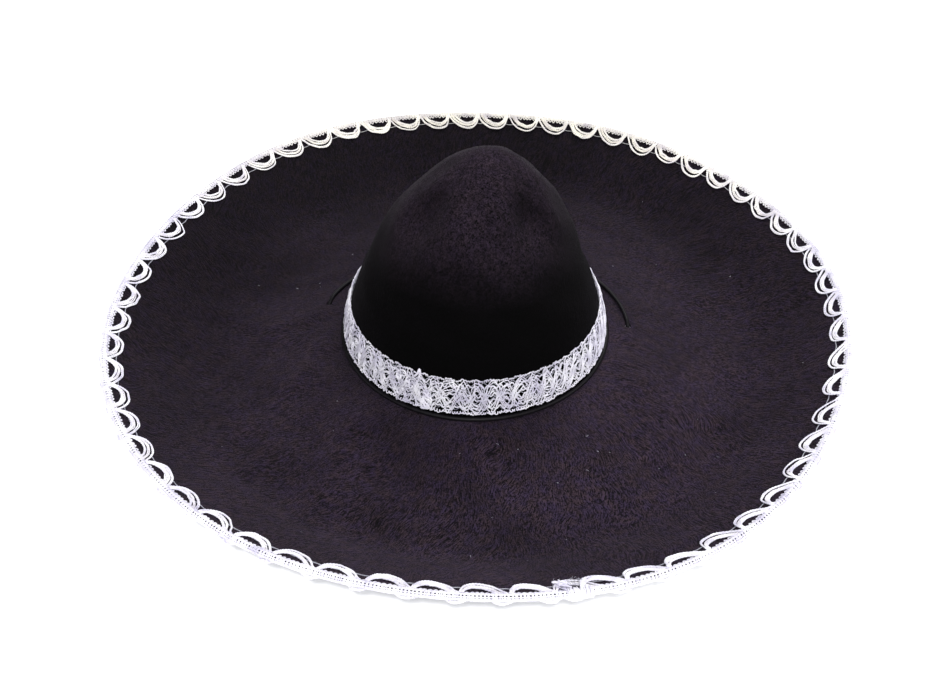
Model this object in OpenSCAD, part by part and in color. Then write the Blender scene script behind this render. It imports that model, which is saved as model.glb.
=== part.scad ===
// Wide-brimmed felt sombrero, lying on its brim.
// +Z is up, the front of the hat faces -Y, and the origin is on the table, under the middle of the crown.

/* [Brim] */
// Diameter across the felt's edge
brim_d = 540; // [500:5:600]
// Thickness of the felt
felt_t = 2.6; // [2:0.2:2.8]
// Slope of the turned-up edge, in degrees
rim_slope = 31; // [26:1:34]
// Radius of the bend where the brim turns up
bend_r = 60; // [45:5:70]
// Height of the brim's underside at the crown
brim_arch = 10; // [10:0.5:12]
// Middle radius of the flat ring that the brim rests on
rest_r = 185; // [180:1:190]
// Width of that flat ring
rest_w = 20; // [16:1:24]

/* [Crown] */
// Diameter of the crown where it leaves the brim
crown_d = 196; // [190:1:196]
// Height of the crown above the brim
crown_h = 157; // [140:1:175]
// How far the tip leans towards +X
crown_lean = 11; // [0:1:12]
// Depth of the two finger pinches at the front
pinch_depth = 8; // [0:1:10]
// Angle of each pinch from the front of the hat
pinch_angle = 52; // [40:1:60]

/* [Edge braid] */
// Number of loops round the edge
loop_count = 60; // [56:2:62]
// How far the loops reach in from the felt's edge
loop_reach = 14.7; // [13:0.1:15.5]
// Thickness of the loop yarns
yarn_d = 1.3; // [1.1:0.1:1.4]
// Direction of the place where the braid's ends meet, from +X
join_angle = -70.7; // [-90:0.1:-50]

/* [Hat band] */
// Height of the band's bottom edge above the brim
band_lift = 4.4; // [4.4:0.1:6]
// Height of the band, scallops included
band_h = 28; // [26:1:32]
// Number of scallops along each edge of the band
scallop_count = 60; // [54:2:60]

/* [Chin cord] */
// Thickness of the cord
cord_d = 3.2; // [3:0.1:3.3]
// Distance of the cord holes from the middle of the crown
hole_r = 118; // [118:1:119]
// Angle of the cord holes behind the hat's sides
hole_angle = 8; // [7:1:9]

/* [Sweatband] */
// Height of the sweatband
sweatband_h = 32; // [26:1:34]
// Thickness of the sweatband
sweatband_t = 1.2; // [0.8:0.1:1.4]

/* [Hidden] */

$fn = 48;
gap = 0.1;              // room between pieces that lie on each other
loose = 0.25;           // room round the soft pieces on the crown
back = 90;              // direction of the back of the hat
front = -90;            // direction of the front of the hat

felt_black = "#1c1a1d";
lace_silver = "#e4e4ea";
thread_grey = "#c9c9d0";
cord_black = "#101012";
leather_brown = "#3a2a20";
steel_grey = "#8f9296";

// ---- The brim's underside, as a height for each radius ----
open_r = crown_d / 2 + 0.3;
rest_in = rest_r - rest_w / 2;
rest_out = rest_r + rest_w / 2;
bend_run = bend_r * sin(rim_slope);
bend_rise = bend_r * (1 - cos(rim_slope));
edge_under_r = brim_d / 2 + felt_t / 2 * sin(rim_slope);

function brim_z(r) =
    r <= open_r ? brim_arch
  : r < rest_in ? brim_arch * (1 + cos(180 * (r - open_r) / (rest_in - open_r))) / 2
  : r <= rest_out ? 0
  : r < rest_out + bend_run ? bend_r - sqrt(bend_r * bend_r - pow(r - rest_out, 2))
  : bend_rise + (r - rest_out - bend_run) * tan(rim_slope);

function brim_tilt(r) =
    r >= rest_out + bend_run ? rim_slope
  : atan((brim_z(r + 0.05) - brim_z(r - 0.05)) / 0.1);

// Height of the brim's top above the table at radius r
function brim_top(r) = brim_z(r) + felt_t / cos(brim_tilt(r));

arch_steps = 8;
bend_steps = 5;
under_r = concat(
    [for (i = [0 : arch_steps]) open_r + (rest_in - open_r) * i / arch_steps],
    [for (i = [0 : bend_steps]) rest_out + bend_run * i / bend_steps],
    [edge_under_r]
);

// ---- The felt's edge, the frame that the edge braid is built in ----
edge_r = brim_d / 2;
edge_z = brim_z(edge_under_r) + felt_t / 2 * cos(rim_slope);

// Places children at the felt's edge: x runs out along the slope, y along the edge, z off the felt
module at_edge(angle) {
    rotate([0, 0, angle])
        translate([edge_r, 0, edge_z])
            rotate([0, -rim_slope, 0])
                children();
}

// Turns a section, drawn with x out along the slope and y off the felt, all round the edge
module along_edge(angle = 360) {
    rotate_extrude(angle = angle)
        translate([edge_r, edge_z])
            rotate(rim_slope)
                children();
}

loop_step = 360 / loop_count;
loop_base = 2.3;                            // the loops start this far in from the felt's edge
outer_bow = loop_reach - loop_base - yarn_d / 2;
loop_chord = loop_step * PI / 180 * edge_r - 2.8;
loop_lift = felt_t / 2 + 1 + yarn_d / 2;    // the loops ride on the linking yarn
link_yarn_d = 0.6;
link_in = 8.4;                              // the linking yarn runs this far in from the edge
under_bow = 8;
under_in = 5.6;

heading_in = felt_t / 2 + gap;              // half the room inside the folded heading
heading_t = 0.9;
fold_out = 0.9;                             // the middle of the fold lies this far outside the felt
heading_top = 1.5;                          // how far the heading reaches in on top
heading_under = 4.5;                        // and on the underside

wire_d = 1.2;
wire_out = 1.15;
sleeve_d = 2.1;
sleeve_angle = 5;

// ---- The crown: its outer radius for each height, from 0 at the brim to 1 at the tip ----
crown_base = brim_top(open_r);
crown_segments = 60;
crown_rings = 18;
pinch_width = 28;       // half the angle that a pinch covers
pinch_middle = 0.77;    // height of the middle of a pinch
pinch_reach = 0.2;      // half the height that a pinch covers
foot_r = 108;
foot_bottom = brim_arch - 2.8;
foot_top = brim_z(foot_r) - gap;

function crown_r(h, d) = d / 2 * pow(max(0, 1 - pow(h, 1.34)), 0.546);
function bump(x) = abs(x) < 1 ? pow(cos(90 * x), 2) : 0;
function pinch(angle, h) = pinch_depth * bump((h - pinch_middle) / pinch_reach)
    * (bump((angle - front - pinch_angle) / pinch_width) + bump((angle - front + pinch_angle) / pinch_width));
function wall_point(angle, h, d, height) =
    let (r = crown_r(h, d) - pinch(angle, h))
    [crown_lean * pow(h, 3) + r * cos(angle), r * sin(angle), crown_base + height * h];
function wall_ring(h, d, height) =
    [for (i = [0 : crown_segments - 1]) wall_point(-180 + 360 * i / crown_segments, h, d, height)];
function flat_ring(r, z) =
    [for (i = [0 : crown_segments - 1])
        let (angle = -180 + 360 * i / crown_segments)
        [r * cos(angle), r * sin(angle), z]];

inner_d = crown_d - 2 * felt_t;
inner_h = crown_h - felt_t;
wall_heights = [for (i = [0 : crown_rings - 1]) sin(90 * i / crown_rings)];

// Radius of the crown's outer wall at height z above the table, below the pinches
function wall_r(z) = crown_r(max(0, z - crown_base) / crown_h, crown_d);
function inner_wall_r(z) = crown_r(max(0, z - crown_base) / inner_h, inner_d);

// ---- The hat band, on a straight cone that follows the crown's foot ----
band_low = crown_base + band_lift;
band_high = band_low + band_h;
scallop_r = 4.4;
scallop_yarn = 1.3;
tape_low = band_low + scallop_r;
tape_high = band_high - scallop_r;
tape_t = 1;
core_d = 1.4;
band_step = 360 / scallop_count;
lap_angle = -112.5;     // direction of the band's lapped end
lap_width = 9;          // degrees that the lap covers
lap_t = 1.2;
tack_count = 12;

// Places children on the crown's wall: x off the wall, y along the band, z up the wall
module on_wall(angle, z) {
    lean = atan((wall_r(z - 2) - wall_r(z + 2)) / 4);
    rotate([0, 0, angle])
        translate([wall_r(z), 0, z])
            rotate([0, -lean, 0])
                children();
}

// A strip that lies against the outside of the crown, from height low to high
module wall_strip(low, high, off, thickness, angle) {
    levels = [for (i = [0 : 3]) low + (high - low) * i / 3];
    rotate_extrude(angle = angle)
        polygon(concat(
            [for (z = levels) [wall_r(z) + off, z]],
            [for (i = [3 : -1 : 0]) [wall_r(levels[i]) + off + thickness, levels[i]]]
        ));
}

// A strip that lies against the inside of the crown
module lining_strip(low, high, off, thickness, angle) {
    levels = [for (i = [0 : 3]) low + (high - low) * i / 3];
    rotate_extrude(angle = angle)
        polygon(concat(
            [for (z = levels) [inner_wall_r(z) - off, z]],
            [for (i = [3 : -1 : 0]) [inner_wall_r(levels[i]) - off - thickness, levels[i]]]
        ));
}

sweatband_low = brim_arch - 0.8;
sweatband_high = sweatband_low + sweatband_h;
sweatband_off = loose + 0.1;
seam_stitches = 60;
seam_r = 103;
thread_d = 0.5;
stitch_len = 5;

// ---- The chin cord ----
cord_sides = 8;
cord_rest = cord_d / 2 + 0.2;       // height of the cord's middle above what it lies on
cord_turn_r = crown_d / 2 + 2.8;    // the cord's turn round the crown's foot
cord_outer_r = cord_turn_r + 4;     // and the second strand, outside it, behind the crown
in_hole = -felt_t / 2 - 0.1;        // middle of the felt, below its top
under_hole = -felt_t - 1.8;         // below the mouth of the hole, under the brim
hole_d = 5;

// Route points: [direction, radius, height above the brim's top], from the left hole to behind the crown
cord_start = [
    [180 - hole_angle + 2.5, hole_r + 0.3, under_hole],
    [180 - hole_angle, hole_r, in_hole],
    [169.5, 117.5, 1.1],
    [166, 116.5, cord_rest],
    [160, 114, cord_rest],
    [152, 110, cord_rest],
    [144, 106.5, cord_rest],
    [135, cord_outer_r, cord_rest],
    [122, cord_outer_r, cord_rest],
    [109, cord_outer_r, cord_rest],
    [96, cord_outer_r, cord_rest],
    [83, cord_outer_r, cord_rest],
    [70, cord_outer_r, cord_rest],
    [62, 103.9, cord_rest],
    [54, 102.9, cord_rest],
    [46, 101.8, cord_rest],
    [38, 101.1, cord_rest],
    [29, cord_turn_r, cord_rest]
];
turn_step = 15;
turn_points = 20;
cord_turn = [for (i = [0 : turn_points - 1]) [16 - turn_step * i, cord_turn_r, cord_rest]];
// From behind the crown, over the first strand, to the right hole
cord_end = [
    [78, cord_turn_r, 2.2],
    [70, 100.9, 3.6],
    [64, 102, 5.2],
    [58, 103.6, 5.6],
    [52, 105.6, 4.6],
    [46, 107.8, 2.6],
    [39, 110.4, cord_rest],
    [31, 113.4, cord_rest],
    [23, 115.6, cord_rest],
    [16, 117, cord_rest],
    [10.5, 117.7, 1.1],
    [hole_angle, hole_r, in_hole],
    [hole_angle - 2.5, hole_r + 0.3, under_hole]
];

function on_brim(p) = [p[1] * cos(p[0]), p[1] * sin(p[0]), brim_top(p[1]) + p[2]];

// The free end on the right, from its hole down to the table, in under the crown and back to the knot.
// The left one is its mirror image.
cord_table = cord_d / 2 + 0.2;
slide_z = 3.3;
cord_pitch = 3;         // the two ends run side by side, this far from the hat's middle plane
free_route = [
    on_brim([hole_angle - 2.5, hole_r + 0.3, under_hole]),
    [118, 5, 4],
    [118, -1, 2.1],
    [116.5, -9, cord_table],
    [112, -23, cord_table],
    [104, -39, cord_table],
    [92, -55, cord_table],
    [77, -69, cord_table],
    [59, -80, cord_table],
    [41, -84, cord_table],
    [25, -81, cord_table],
    [13, -73, 2.2],
    [6, -61, 2.8],
    [cord_pitch, -46, slide_z],
    [cord_pitch, 60, slide_z],
    [cord_pitch, 72, slide_z]
];
knot_y = 75.5;
knot_r = 4.7;
slide_w = 16;
slide_l = 12;
slide_t = 6.2;

// ---- A tube swept along points ----
function unit(v) = v / norm(v);
function tangent(pts, i) = unit(pts[min(i + 1, len(pts) - 1)] - pts[max(i - 1, 0)]);
function tube_ring(p, t, d, sides) =
    let (side = unit(cross(t, [0, 0, 1])), up = cross(side, t))
    [for (k = [0 : sides - 1])
        let (a = 360 * (k + 0.5) / sides)
        p + d / 2 * (cos(a) * side + sin(a) * up)];

// The outside of a stack of rings, with the first and the last ring closed
function ring_faces(rings, sides) = concat(
    [for (i = [0 : rings - 2]) for (k = [0 : sides - 1])
        [i * sides + k, (i + 1) * sides + k, i * sides + (k + 1) % sides]],
    [for (i = [0 : rings - 2]) for (k = [0 : sides - 1])
        [i * sides + (k + 1) % sides, (i + 1) * sides + k, (i + 1) * sides + (k + 1) % sides]]
);

module tube(pts, d, sides) {
    rings = len(pts);
    points = [for (i = [0 : rings - 1]) each tube_ring(pts[i], tangent(pts, i), d, sides)];
    start_face = [for (k = [0 : sides - 1]) k];
    end_face = [for (k = [sides - 1 : -1 : 0]) (rings - 1) * sides + k];
    polyhedron(points, concat([start_face, end_face], ring_faces(rings, sides)));
}

// ---- Yarn shapes ----
// A bow of yarn in the x-y plane: its ends lie on x = 0, chord apart, and it reaches to x = -reach
module bow(chord, reach, d) {
    r = (chord * chord / 4 + reach * reach) / (2 * reach);
    half = asin(chord / 2 / r);
    translate([r - reach, 0, 0])
        rotate([0, 0, 180 - half])
            rotate_extrude(angle = 2 * half)
                translate([r, 0])
                    circle(d = d);
}

// A short straight stitch along y
module stitch(len, d) {
    translate([0, len / 2, 0])
        rotate([90, 0, 0])
            cylinder(h = len, d = d);
}

// ---- Felt ----
module crown() {
    inner = [for (i = [crown_rings - 1 : -1 : 0]) wall_ring(wall_heights[i], inner_d, inner_h)];
    foot = [
        flat_ring(inner_d / 2, foot_bottom),
        flat_ring(foot_r, foot_bottom),
        flat_ring(foot_r, foot_top),
        flat_ring(crown_d / 2, foot_top)
    ];
    outer = [for (h = wall_heights) wall_ring(h, crown_d, crown_h)];
    rings = concat(inner, foot, outer);
    points = concat(
        [for (ring = rings) each ring],
        [[crown_lean, 0, crown_base + inner_h], [crown_lean, 0, crown_base + crown_h]]
    );
    n = crown_segments;
    last = (len(rings) - 1) * n;
    inner_tip = len(rings) * n;
    tip_faces = [for (k = [0 : n - 1]) each [
        [inner_tip, k, (k + 1) % n],
        [inner_tip + 1, last + (k + 1) % n, last + k]
    ]];
    color(felt_black)
        polyhedron(points, concat(tip_faces, ring_faces(len(rings), n)));
}

module brim() {
    top = [for (i = [len(under_r) - 1 : -1 : 0])
        let (r = under_r[i], tilt = i == 0 ? 0 : brim_tilt(r))
        [r - felt_t * sin(tilt), brim_z(r) + felt_t * cos(tilt)]];
    color(felt_black)
        difference() {
            rotate_extrude()
                polygon(concat([for (r = under_r) [r, brim_z(r)]], top));
            for (angle = [hole_angle, 180 - hole_angle])
                rotate([0, 0, angle])
                    translate([hole_r, 0, 0])
                        cylinder(h = 3 * brim_arch, d = hole_d);
        }
}

module crown_seam_stitches() {
    color(thread_grey)
        for (i = [0 : seam_stitches - 1])
            rotate([0, 0, 360 * i / seam_stitches])
                translate([seam_r, 0, foot_bottom - thread_d / 2 - gap])
                    stitch(stitch_len, thread_d);
}

// ---- Sweatband ----
module sweatband() {
    color("#26221f")
        rotate([0, 0, back + 0.3])
            lining_strip(sweatband_low, sweatband_high, sweatband_off, sweatband_t, 359.4);
}

module sweatband_joint_tape() {
    tape_angle = 9;
    color("#2e2a28")
        rotate([0, 0, back - tape_angle / 2])
            lining_strip(sweatband_low + 1, sweatband_high - 1, sweatband_off + sweatband_t + gap, 0.5, tape_angle);
}

module sweatband_stitches() {
    z = sweatband_low + 3;
    r = inner_wall_r(z) - sweatband_off - sweatband_t - thread_d / 2 - 4 * gap;
    count = 48;
    color(thread_grey)
        for (i = [0 : count - 1])
            rotate([0, 0, back + 360 * (i + 0.5) / count])
                if (i > 1 && i < count - 2)
                    translate([r, 0, z])
                        stitch(stitch_len, thread_d);
}

// ---- Edge of the brim ----
module brim_wire() {
    color(steel_grey)
        rotate([0, 0, back + 0.2])
            along_edge(359.6)
                translate([wire_out, 0])
                    circle(d = wire_d);
}

module brim_wire_sleeve() {
    color(steel_grey)
        rotate([0, 0, back - sleeve_angle / 2])
            along_edge(sleeve_angle)
                translate([wire_out, 0])
                    difference() {
                        circle(d = sleeve_d);
                        circle(d = wire_d + 2 * gap);
                    }
}

// The heading's section: a strip folded over the felt's edge
module heading_section(inner, thickness) {
    outer = inner + thickness;
    difference() {
        union() {
            translate([fold_out, 0])
                circle(r = outer);
            translate([-heading_top, 0])
                square([heading_top + fold_out, outer]);
            translate([-heading_under, -outer])
                square([heading_under + fold_out, outer]);
        }
        translate([fold_out, 0])
            circle(r = inner);
        translate([-2 * heading_under, -inner])
            square([2 * heading_under + fold_out, 2 * inner]);
    }
}

module trim_heading() {
    color(lace_silver)
        along_edge()
            heading_section(heading_in, heading_t);
}

// A row of bows on top of the brim, one in each step of the braid
module top_bows(narrower, reach) {
    for (i = [0 : loop_count - 1])
        at_edge(join_angle + (i + 0.5) * loop_step)
            translate([-loop_base, 0, loop_lift])
                bow(loop_chord - narrower, reach, yarn_d);
}

module trim_outer_loops() {
    color(lace_silver)
        top_bows(0, outer_bow);
}

module trim_middle_loops() {
    color("#d9d6c8")
        top_bows(2 * (yarn_d + 0.2), outer_bow - 3.6);
}

module trim_inner_loops() {
    color(lace_silver)
        top_bows(4 * (yarn_d + 0.2), outer_bow - 7.6);
}

module trim_link_yarn() {
    color(thread_grey)
        along_edge()
            translate([-link_in, felt_t / 2 + gap + link_yarn_d / 2])
                circle(d = link_yarn_d);
}

module trim_under_loops() {
    color(lace_silver)
        for (i = [0 : loop_count - 1])
            at_edge(join_angle + i * loop_step)
                translate([-under_in, 0, -felt_t / 2 - gap - yarn_d / 2])
                    bow(loop_chord - 3, under_bow, yarn_d);
}

module trim_stitches() {
    color(thread_grey)
        for (i = [0 : loop_count - 1])
            at_edge(join_angle + (i + 0.5) * loop_step)
                translate([-heading_under + 1.5, 0, -heading_in - heading_t - thread_d / 2 - gap])
                    stitch(stitch_len, thread_d);
}

module trim_end_whipping() {
    whip_angle = 2;
    color(lace_silver)
        rotate([0, 0, join_angle - whip_angle / 2])
            along_edge(whip_angle)
                translate([fold_out, 0])
                    difference() {
                        circle(r = heading_in + heading_t + gap + 0.6);
                        circle(r = heading_in + heading_t + gap);
                        translate([-10, -10])
                            square([10, 20]);
                    }
}

// ---- Hat band ----
module hat_band_tape() {
    color(lace_silver)
        wall_strip(tape_low, tape_high, loose, tape_t, 360);
}

module hat_band_core_cords() {
    color(lace_silver)
        for (z = [tape_low + 5, tape_high - 5])
            rotate_extrude()
                translate([wall_r(z) + loose + tape_t + gap + core_d / 2, z])
                    circle(d = core_d);
}

// A row of scallops along the tape's edge; up is 1 for the upper edge and -1 for the lower one
module scallops(z, up) {
    for (i = [0 : scallop_count - 1])
        on_wall(lap_angle + (i + 0.5) * band_step, z)
            translate([loose + scallop_yarn / 2, 0, up * 4 * gap])
                rotate([0, up * 90, 0])
                    bow(2 * scallop_r - 0.4, scallop_r - scallop_yarn / 2, scallop_yarn);
}

module hat_band_upper_loops() {
    color(lace_silver)
        scallops(tape_high, 1);
}

module hat_band_lower_loops() {
    color(lace_silver)
        scallops(tape_low, -1);
}

module hat_band_lap() {
    color(lace_silver)
        rotate([0, 0, lap_angle - lap_width / 2])
            wall_strip(band_low + 1, band_high - 1, loose + tape_t + core_d + 2 * gap, lap_t, lap_width);
}

module hat_band_tacks() {
    color(thread_grey)
        for (i = [0 : tack_count - 1])
            on_wall(lap_angle + (i + 0.5) * 360 / tack_count, (tape_low + tape_high) / 2)
                translate([loose + tape_t + gap + thread_d / 2, 0, 0])
                    stitch(4, thread_d);
}

// ---- Chin cord ----
module chin_cord_wrap() {
    color(cord_black)
        tube([for (p = concat(cord_start, cord_turn, cord_end)) on_brim(p)], cord_d, cord_sides);
}

module chin_cord_right() {
    color(cord_black)
        tube(free_route, cord_d, cord_sides);
}

module chin_cord_left() {
    color(cord_black)
        mirror([1, 0, 0])
            tube(free_route, cord_d, cord_sides);
}

// A flat slide with one hole for each end of the cord
module chin_slide() {
    color(leather_brown)
        translate([0, slide_l / 2, slide_z])
            rotate([90, 0, 0])
                linear_extrude(height = slide_l)
                    difference() {
                        union() {
                            square([slide_w - slide_t, slide_t], center = true);
                            for (side = [-1, 1])
                                translate([side * (slide_w - slide_t) / 2, 0])
                                    circle(d = slide_t);
                        }
                        for (side = [-1, 1])
                            translate([side * cord_pitch, 0])
                                circle(d = cord_d + 0.6);
                    }
}

module chin_knot() {
    color(cord_black)
        translate([0, knot_y, knot_r + 0.2])
            sphere(r = knot_r);
}

crown();
brim();
crown_seam_stitches();
sweatband();
sweatband_joint_tape();
sweatband_stitches();
brim_wire();
brim_wire_sleeve();
trim_heading();
trim_outer_loops();
trim_middle_loops();
trim_inner_loops();
trim_link_yarn();
trim_under_loops();
trim_stitches();
trim_end_whipping();
hat_band_tape();
hat_band_core_cords();
hat_band_upper_loops();
hat_band_lower_loops();
hat_band_lap();
hat_band_tacks();
chin_cord_wrap();
chin_cord_left();
chin_cord_right();
chin_slide();
chin_knot();
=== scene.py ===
import math

import bpy
import numpy as np
from mathutils import Matrix, Vector


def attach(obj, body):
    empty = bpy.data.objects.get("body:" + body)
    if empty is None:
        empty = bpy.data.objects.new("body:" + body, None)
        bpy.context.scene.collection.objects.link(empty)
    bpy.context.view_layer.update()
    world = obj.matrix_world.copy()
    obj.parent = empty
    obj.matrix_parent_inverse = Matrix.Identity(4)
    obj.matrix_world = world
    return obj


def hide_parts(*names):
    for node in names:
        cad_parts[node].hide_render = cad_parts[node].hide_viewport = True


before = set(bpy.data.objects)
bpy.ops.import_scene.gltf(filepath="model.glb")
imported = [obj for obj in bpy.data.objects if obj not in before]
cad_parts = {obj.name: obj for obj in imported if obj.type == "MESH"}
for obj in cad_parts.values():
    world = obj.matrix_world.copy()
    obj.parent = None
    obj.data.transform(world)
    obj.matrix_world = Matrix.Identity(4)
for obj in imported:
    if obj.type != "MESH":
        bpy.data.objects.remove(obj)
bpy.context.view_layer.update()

MM = 0.001
HAT = "hat"
UP = (0, 0, 1)
ASKEW = (0.31, 0.17, 0.93)  # a direction that no stray fibre takes

# ---- Driving sizes, as in the CAD source ----
BRIM_R = 270 * MM
FELT_T = 2.6 * MM
RIM_SLOPE = math.radians(31)
BEND_R = 60 * MM
BRIM_ARCH = 10 * MM
REST_IN = 175 * MM
REST_OUT = 195 * MM
CROWN_R = 98 * MM
CROWN_H = 157 * MM
CROWN_LEAN = 11 * MM
PINCH_DEPTH = 8 * MM
PINCH_ANGLE = 52
PINCH_WIDTH = 28
PINCH_MIDDLE = 0.77
PINCH_REACH = 0.2
FRONT = -90
BACK = 90
LOOPS = 60
JOIN_ANGLE = -70.7
LAP_ANGLE = -112.5
CORD_D = 3.2 * MM
HOLE_R = 118 * MM
HOLE_D = 5 * MM
HOLE_ANGLE = 8

OPEN_R = CROWN_R + 0.3 * MM
BEND_RUN = BEND_R * math.sin(RIM_SLOPE)
BEND_RISE = BEND_R * (1 - math.cos(RIM_SLOPE))
EDGE_UNDER_R = BRIM_R + FELT_T / 2 * math.sin(RIM_SLOPE)


def brim_z(r):
    """Height of the brim's underside at radius r, for a number or an array."""
    r = np.asarray(r, float)
    arch = BRIM_ARCH * (1 + np.cos(np.pi * (r - OPEN_R) / (REST_IN - OPEN_R))) / 2
    bend = BEND_R - np.sqrt(np.maximum(BEND_R ** 2 - np.maximum(r - REST_OUT, 0) ** 2, 0))
    slope = BEND_RISE + (r - REST_OUT - BEND_RUN) * math.tan(RIM_SLOPE)
    z = np.where(r <= OPEN_R, BRIM_ARCH, np.where(r < REST_IN, arch, 0))
    return np.where(r < REST_OUT, z, np.where(r < REST_OUT + BEND_RUN, bend, slope))


def brim_tilt(r):
    step = 0.05 * MM
    return np.arctan((brim_z(r + step) - brim_z(r - step)) / (2 * step))


def brim_top(r):
    return brim_z(r) + FELT_T / np.cos(brim_tilt(np.asarray(r, float)))


EDGE_Z = float(brim_z(EDGE_UNDER_R)) + FELT_T / 2 * math.cos(RIM_SLOPE)
CROWN_BASE = BRIM_ARCH + FELT_T
WAVE_START = 200 * MM

# Felt brims are never quite round or level: waves round the edge, as
# (waves in one turn, millimetres high, phase in degrees)
EDGE_OUT = 0.9 * MM
EDGE_BULGES = [(1, 1.5, 104), (2, 2.2, 101), (3, 1.1, 108), (4, 2.2, -38), (5, 0.6, 63), (6, 1.1, 20)]


def edge_wave(angle):
    """How far the edge of the brim rises and falls round the hat; angle in degrees."""
    a = np.radians(angle)
    return 0.9 * MM * np.sin(2 * a + 0.6) + 0.7 * MM * np.sin(3 * a - 0.4) + 0.4 * MM * np.sin(7 * a)


def edge_bulge(angle):
    """How far the edge lies outside the true circle of the brim."""
    total = EDGE_OUT
    for turns, height, phase in EDGE_BULGES:
        total = total + height * MM * np.sin(np.radians(turns * np.asarray(angle) + phase))
    return total


def wave_share(r):
    """Share of the edge's wave and bulge that the brim has at radius r."""
    t = np.clip((np.asarray(r, float) - WAVE_START) / (BRIM_R - WAVE_START), 0, 1)
    return t * t * (3 - 2 * t)


def polar(angle, r, z):
    """Points from directions in degrees, radii and heights."""
    a = np.radians(angle)
    return np.stack(np.broadcast_arrays(r * np.cos(a), r * np.sin(a), z), -1)


def at_edge(angle, out, off):
    """A point in the edge's frame: out along the slope past the felt's edge, off away from its middle."""
    cos, sin = math.cos(RIM_SLOPE), math.sin(RIM_SLOPE)
    r = BRIM_R + edge_bulge(angle) + out * cos - off * sin
    return polar(angle, r, EDGE_Z + out * sin + off * cos + edge_wave(angle))


def crown_profile(h):
    """Outer radius of the crown as a share of its radius at the foot; h runs from 0 at the brim to 1."""
    return np.maximum(0, 1 - np.asarray(h, float) ** 1.34) ** 0.546


def wall_r(z):
    """Radius of the crown's outer wall at height z above the table, below the pinches."""
    return CROWN_R * crown_profile(np.maximum(0, z - CROWN_BASE) / CROWN_H)


def on_wall(angle, z, off):
    """A point on the crown's wall near its foot, off away from the felt."""
    step = 2 * MM
    lean = np.arctan((wall_r(z - step) - wall_r(z + step)) / (2 * step))
    return polar(angle, wall_r(z) + off * np.cos(lean), z + off * np.sin(lean))


# ---- Mesh building ----
def sweep_frame(path, normal, closed):
    """The two directions across a path at each of its points, and the lengths of its steps."""
    ahead = np.roll(path, -1, 0) - np.roll(path, 1, 0)
    if not closed:
        ahead[0], ahead[-1] = path[1] - path[0], path[-1] - path[-2]
    ahead /= np.linalg.norm(ahead, axis=1)[:, None]
    side = np.cross(ahead, np.broadcast_to(normal, path.shape))
    side /= np.linalg.norm(side, axis=1)[:, None]
    steps = np.linalg.norm(np.roll(path, -1, 0) - path, axis=1)
    return side, np.cross(side, ahead), steps


def cap_quads(count):
    """Quads that close a ring of count points, as the numbers of its points."""
    k = np.arange(count // 2 - 1)
    return np.stack([k, k + 1, count - 2 - k, count - 1 - k], -1)


def spot(luck, *ranges):
    """A random point, with each coordinate in its own range."""
    return np.array([luck.uniform(*span) for span in ranges])


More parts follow.
